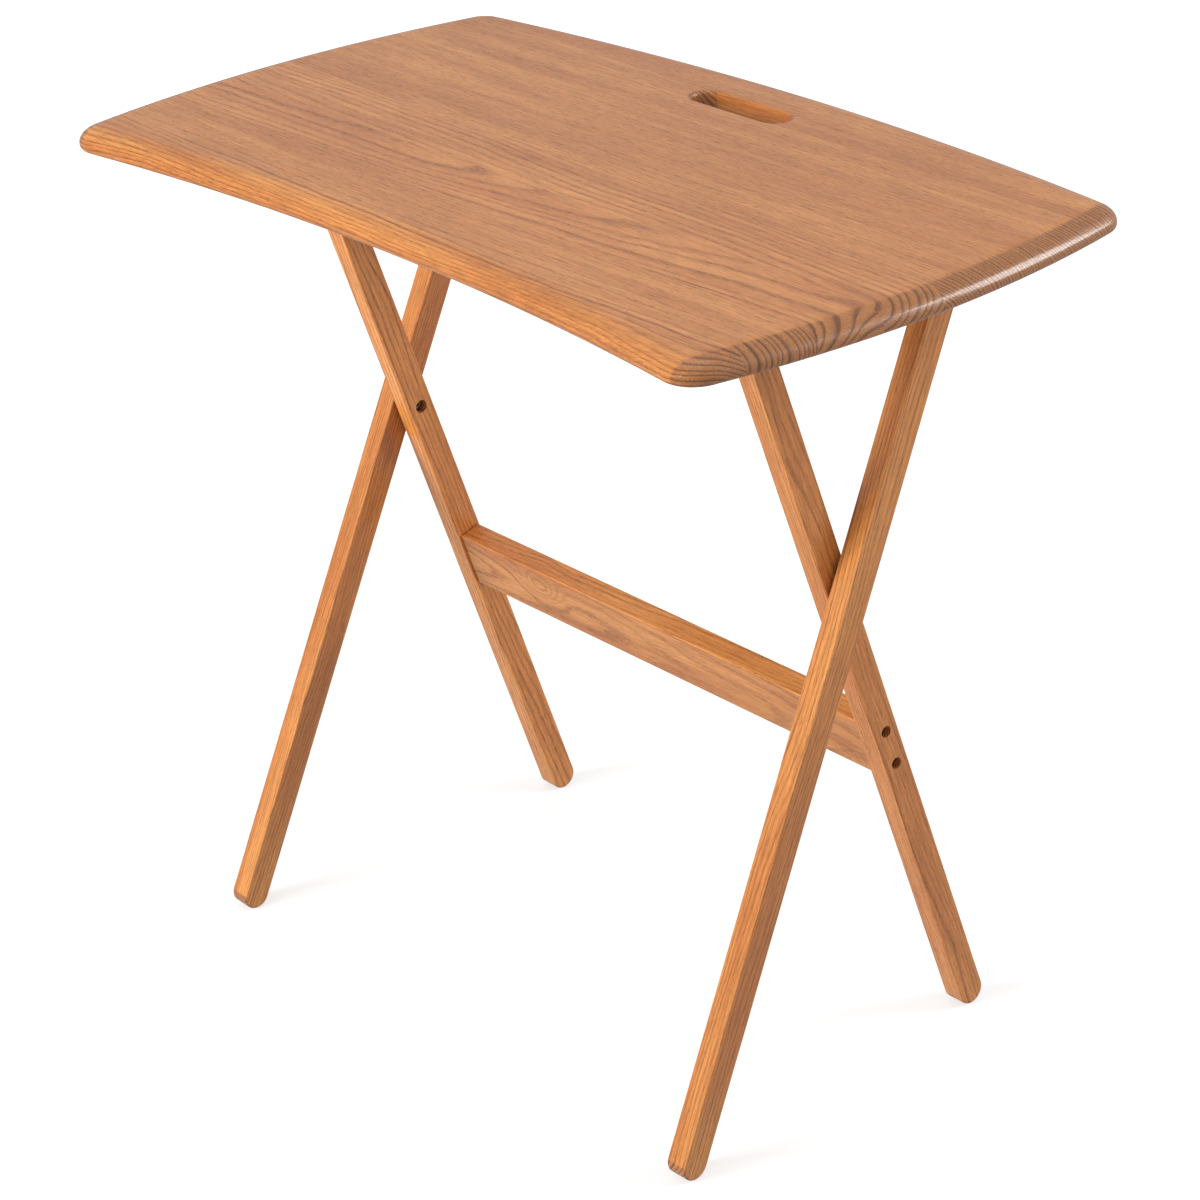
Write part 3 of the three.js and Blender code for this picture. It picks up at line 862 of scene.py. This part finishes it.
def make_rail():
    """The rail, with a small knot near the left end of its front face."""
    top = RAIL_HEIGHT / 2

    def half_at(height):
        along = height - RAIL_BELOW_PIVOT
        return INNER_X - along * math.tan(INNER_SPLAY) - LEG_THICKNESS / 2 - GAP

    corners = [
        (-half_at(-top), -top),
        (half_at(-top), -top),
        (half_at(top), top),
        (-half_at(top), top),
    ]
    centre = Matrix.Translation((0, 0, -RAIL_BELOW_PIVOT))
    place = PIVOT @ Matrix.Rotation(INNER_LEAN, 4, "X") @ centre @ RAIL_AXES
    half = RAIL_THICKNESS / 2
    knot = (-131, 7, half)
    rings = board_rings((-4, -46), 0.03, 3.0, 0.6, 41.2, 1.02, knot)
    material = wood_material("ash rail", place, rings, section=(top, half))
    piece = plate("rail_ash", polygon(corners), eased_profile(-half, half), [], place, material)
    fasten(piece, "rail", "inner_frame")


# ---------- blocks under the top: the modelled solids, with broken edges ----------
def finish_block(node, name, seed):
    rings = board_rings((10, UNDERSIDE - 40), 0.0, 3.0, 0.5, seed, 0.95)
    grain = Matrix.Rotation(math.pi / 2, 4, "Z")
    node.data.materials.clear()
    node.data.materials.append(wood_material(f"ash {name}", grain, rings))
    weld = node.modifiers.new("weld", "WELD")
    weld.merge_threshold = 1e-5
    bevel = node.modifiers.new("broken edges", "BEVEL")
    bevel.width = BLOCK_EASE * MM
    bevel.segments = 2
    bevel.limit_method = "ANGLE"
    bevel.angle_limit = math.radians(40)
    weight_normals(node)


# ---------- fasteners ----------
def socket_screw(name, length, origin, direction, material):
    """A socket-head screw that points along +X or -X from its origin, with its head behind."""
    bm = bmesh.new()
    ease, shoulder, tip = 0.5, 0.15, 0.4
    floor = BOLT_SOCKET_DEPTH - BOLT_HEAD_HEIGHT
    outline = circle((0, 0), TURNED_STEPS)

    def hexagon(height):
        ring = []
        for _, way in outline:
            angle = math.atan2(way.y, way.x) % (math.pi / 3) - math.pi / 6
            reach = BOLT_SOCKET * math.cos(math.pi / 6) / math.cos(angle)
            ring.append(bm.verts.new((way.x * reach, way.y * reach, height)))
        return ring

    rings = [hexagon(floor), hexagon(-BOLT_HEAD_HEIGHT)]
    profile = [
        (BOLT_HEAD - ease, -BOLT_HEAD_HEIGHT),
        (BOLT_HEAD - shoulder, -BOLT_HEAD_HEIGHT + shoulder),
        (BOLT_HEAD, -BOLT_HEAD_HEIGHT + ease),
        (BOLT_HEAD, 0),
        (BOLT_SHANK, 0),
        (BOLT_SHANK, length - BOLT_SHANK),
        (tip, length),
    ]
    rings += [ring_of(bm, outline, radius, height) for radius, height in profile]
    join_rings(bm, rings)
    bm.faces.new(rings[0])
    bm.faces.new(rings[-1])
    place = Matrix.Translation(origin) @ Matrix.Rotation(direction * math.pi / 2, 4, "Y")
    return to_object(bm, name, place, material)


def washer(name, origin, material):
    """A washer that fills the gap between two wooden pieces side by side."""
    bm = bmesh.new()
    half = LEG_GAP / 2 - GAP
    ease = 0.3
    profile = [
        (SHANK_HOLE, -half),
        (WASHER_RADIUS - ease, -half),
        (WASHER_RADIUS, -half + ease),
        (WASHER_RADIUS, half - ease),
        (WASHER_RADIUS - ease, half),
        (SHANK_HOLE, half),
    ]
    low, high = wall(bm, circle((0, 0), TURNED_STEPS), profile)
    join_rings(bm, [high, low])
    place = Matrix.Translation(origin) @ Matrix.Rotation(math.pi / 2, 4, "Y")
    return to_object(bm, name, place, material)


def make_fasteners(side, name, steel, nylon):
    seat = COUNTERBORE_DEPTH - LEG_THICKNESS / 2
    length = LEG_THICKNESS - COUNTERBORE_DEPTH + LEG_GAP + BOLT_GRIP
    origin = (side * (INNER_X + seat - GAP), PIVOT_Y, PIVOT_HEIGHT)
    screw = socket_screw(f"pivot_screw_{name}_steel", length, origin, side, steel)
    fasten(screw, f"pivot_screw_{name}", "outer_frame")
    origin = (side * (INNER_X + OUTER_X) / 2, PIVOT_Y, PIVOT_HEIGHT)
    ring = washer(f"pivot_washer_{name}_nylon", origin, nylon)
    fasten(ring, f"pivot_washer_{name}", "outer_frame")

    length = HINGE_BLOCK_WIDTH - COUNTERBORE_DEPTH + LEG_GAP + BOLT_GRIP
    hinge_seat = HINGE_BLOCK_X - HINGE_BLOCK_WIDTH / 2 + COUNTERBORE_DEPTH - GAP
    origin = (side * hinge_seat, HINGE_Y, HINGE_HEIGHT)
    screw = socket_screw(f"hinge_screw_{name}_steel", length, origin, side, steel)
    fasten(screw, f"hinge_screw_{name}", "outer_frame")
    origin = (side * (HINGE_OUTER_FACE - LEG_GAP / 2), HINGE_Y, HINGE_HEIGHT)
    ring = washer(f"hinge_washer_{name}_nylon", origin, nylon)
    fasten(ring, f"hinge_washer_{name}", "outer_frame")

    for number, up in ((1, 1), (2, -1)):
        along = -RAIL_BELOW_PIVOT + up * RAIL_SCREW_SPACING / 2
        reach = side * (INNER_X - along * math.tan(INNER_SPLAY) - seat + GAP)
        origin = PIVOT @ Matrix.Rotation(INNER_LEAN, 4, "X") @ Vector((reach, 0, along))
        length = LEG_THICKNESS - COUNTERBORE_DEPTH + RAIL_SCREW_GRIP
        screw = socket_screw(f"rail_screw_{name}_{number}_steel", length, origin, -side, steel)
        fasten(screw, f"rail_screw_{name}_{number}", "inner_frame")


steel = steel_material()
nylon = nylon_material()
make_top()
make_rail()
for side, name in SIDES.items():
    make_outer_leg(side, name)
    make_inner_leg(side, name)
    make_fasteners(side, name, steel, nylon)
for number, (name, node) in enumerate(sorted(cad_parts.items())):
    if "_block_screw_" in name:
        node.data.materials.clear()
        node.data.materials.append(steel)
    elif "_block_" in name:
        finish_block(node, name.replace("_", " "), 50.5 + number)


# ---------- floor and light: metres and watts ----------
FLOOR_SIZE = 400
FLOOR_GREY = (0.42, 0.42, 0.42, 1)
# The floor's glow grows between these distances from the middle, between these strengths.
GLOW_DISTANCES = (0.5, 2.6)
GLOW_STRENGTHS = (0.6, 0.86)
WHITE = (1, 1, 1, 1)
WORLD_STRENGTH = 0.5

# Each softbox: name, place, target, size, power, and whether glossy surfaces mirror it.
LIGHTS = [
    ("key", (-0.9, -2.9, 1.35), (0, 0, 0.35), (1.5, 1.5), 108, False),
    ("over", (0.1, 0.0, 3.0), (0, 0, 0.6), (2.2, 2.2), 12, True),
    ("rim", (1.54, 1.95, 1.5), (0.34, 0.1, 0.62), (0.9, 1.2), 38, True),
    ("fill", (-2.2, 1.9, 1.6), (0, 0, 0.4), (1.5, 1.5), 18, False),
    ("corner", (0.6, -2.9, 1.9), (0.3, -0.1, 0.6), (0.35, 0.35), 6, True),
]


def area_light(name, place, target, size, power, mirrored):
    data = bpy.data.lights.new(name, "AREA")
    data.shape = "RECTANGLE"
    data.size, data.size_y = size
    data.energy = power
    light = bpy.data.objects.new(name, data)
    light.visible_glossy = mirrored
    aim = Vector(target) - Vector(place)
    turn = aim.to_track_quat("-Z", "Y").to_matrix().to_4x4()
    light.matrix_world = Matrix.Translation(place) @ turn
    bpy.context.collection.objects.link(light)


def make_floor():
    """A floor that glows enough to be white, more so away from the object's shadow.

    The object isn't lit by it: its glow would wash out the undersides and the legs.
    """
    material, t = new_material("white floor")
    place = t.add("ShaderNodeTexCoord").outputs["Object"]
    distance = t.add("ShaderNodeVectorMath", {0: place}, operation="LENGTH").outputs["Value"]
    t.surface(
        {
            "Base Color": FLOOR_GREY,
            "Roughness": 0.9,
            "Emission Color": WHITE,
            "Emission Strength": t.step(distance, *GLOW_DISTANCES, *GLOW_STRENGTHS),
        }
    )
    bm = bmesh.new()
    bmesh.ops.create_grid(bm, x_segments=1, y_segments=1, size=FLOOR_SIZE)
    mesh = bpy.data.meshes.new("floor")
    bm.to_mesh(mesh)
    bm.free()
    mesh.materials.append(material)
    floor = bpy.data.objects.new("floor", mesh)
    bpy.context.collection.objects.link(floor)
    floor.visible_diffuse = False
    floor.visible_glossy = False


def make_world():
    world = bpy.data.worlds.new("studio")
    world.use_nodes = True
    background = world.node_tree.nodes["Background"]
    background.inputs["Color"].default_value = WHITE
    background.inputs["Strength"].default_value = WORLD_STRENGTH
    bpy.context.scene.world = world


make_floor()
make_world()
for light in LIGHTS:
    area_light(*light)
bpy.context.scene.view_settings.view_transform = "Standard"
